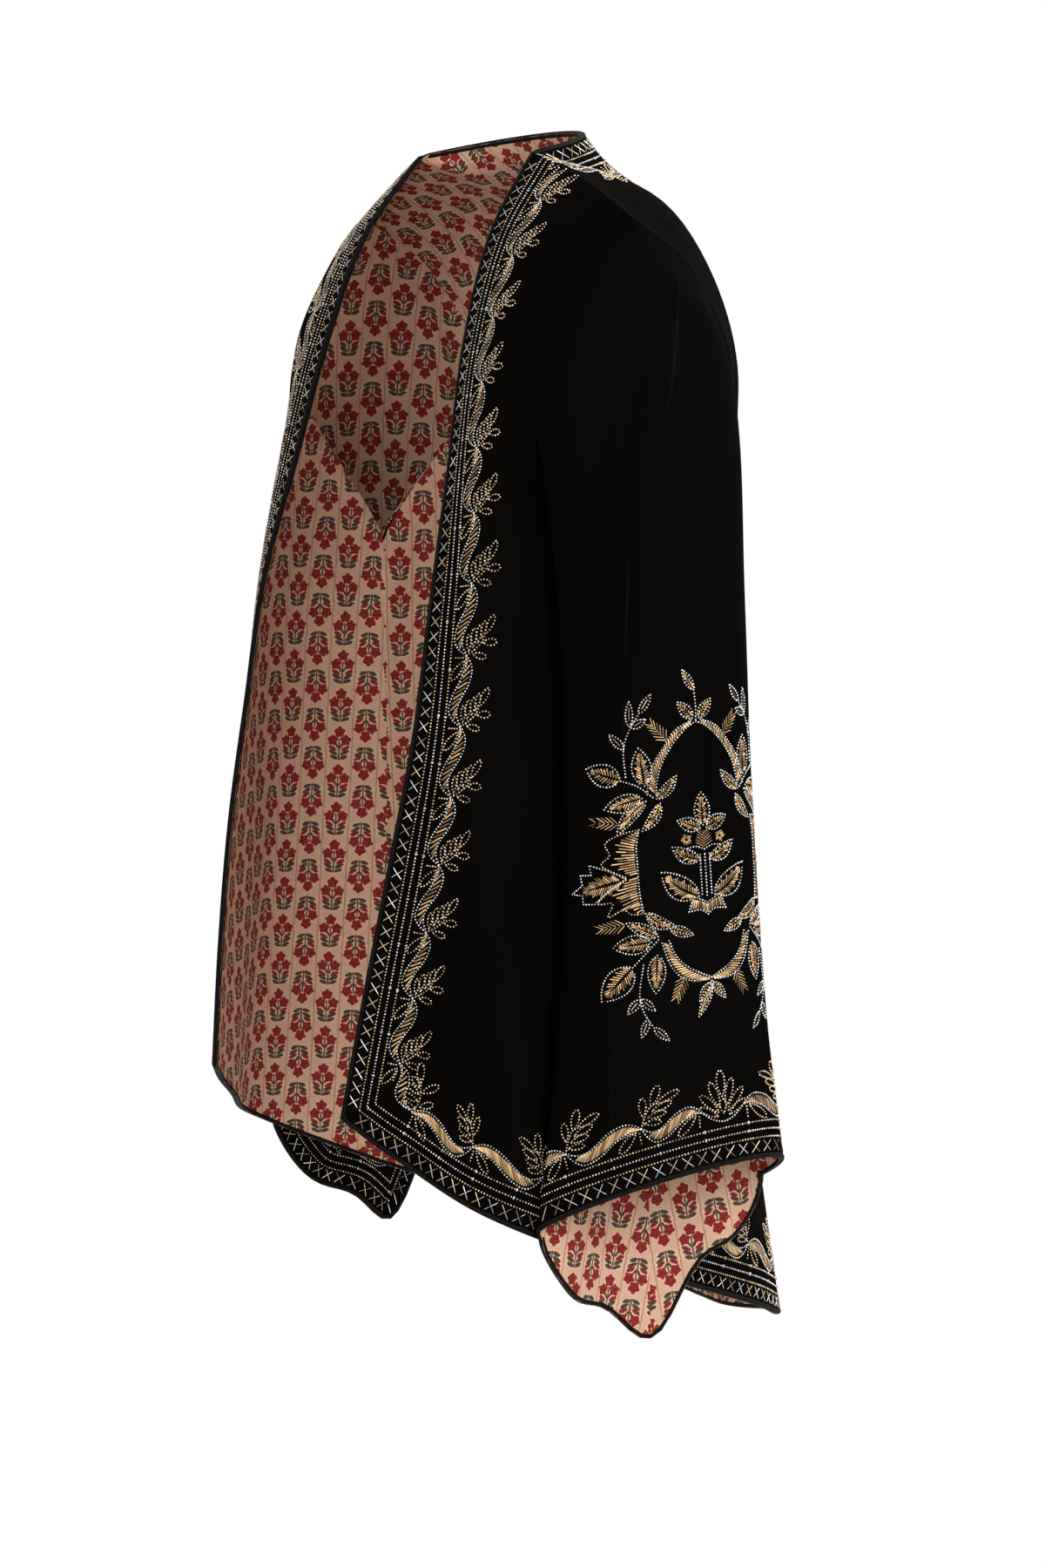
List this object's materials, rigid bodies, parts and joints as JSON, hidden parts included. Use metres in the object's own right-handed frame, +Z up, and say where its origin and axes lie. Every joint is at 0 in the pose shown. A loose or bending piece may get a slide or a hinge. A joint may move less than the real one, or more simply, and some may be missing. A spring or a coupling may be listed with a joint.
{
  "type": "velvet jacket",
  "caption": "Open-fronted hip-length evening jacket in black velvet with wide hanging sleeves, beaded borders and a block-printed cotton lining, in its worn shape.",
  "frame": {"origin": "middle of the neck at the height of the neck ends of the shoulder seams, where the jacket rests on the wearer", "axes": "+Z up, the front faces -Y, +X is the wearer's left"},
  "size_m": [0.4766, 0.3069, 0.7533],
  "materials": {
    "velvet": "black velvet pile with beaded embroidery",
    "lining": "block-printed cotton, matt",
    "binding": "narrow dark bias binding"
  },
  "bodies": {
    "root": {"front_left": "velvet", "front_right": "velvet", "back": "velvet", "sleeve_left": "velvet", "sleeve_right": "velvet", "lining_front_left": "lining", "lining_front_right": "lining", "lining_back": "lining", "lining_sleeve_left": "lining", "lining_sleeve_right": "lining", "binding_body": "binding", "binding_cuff_left": "binding", "binding_cuff_right": "binding"}
  },
  "joints": []
}
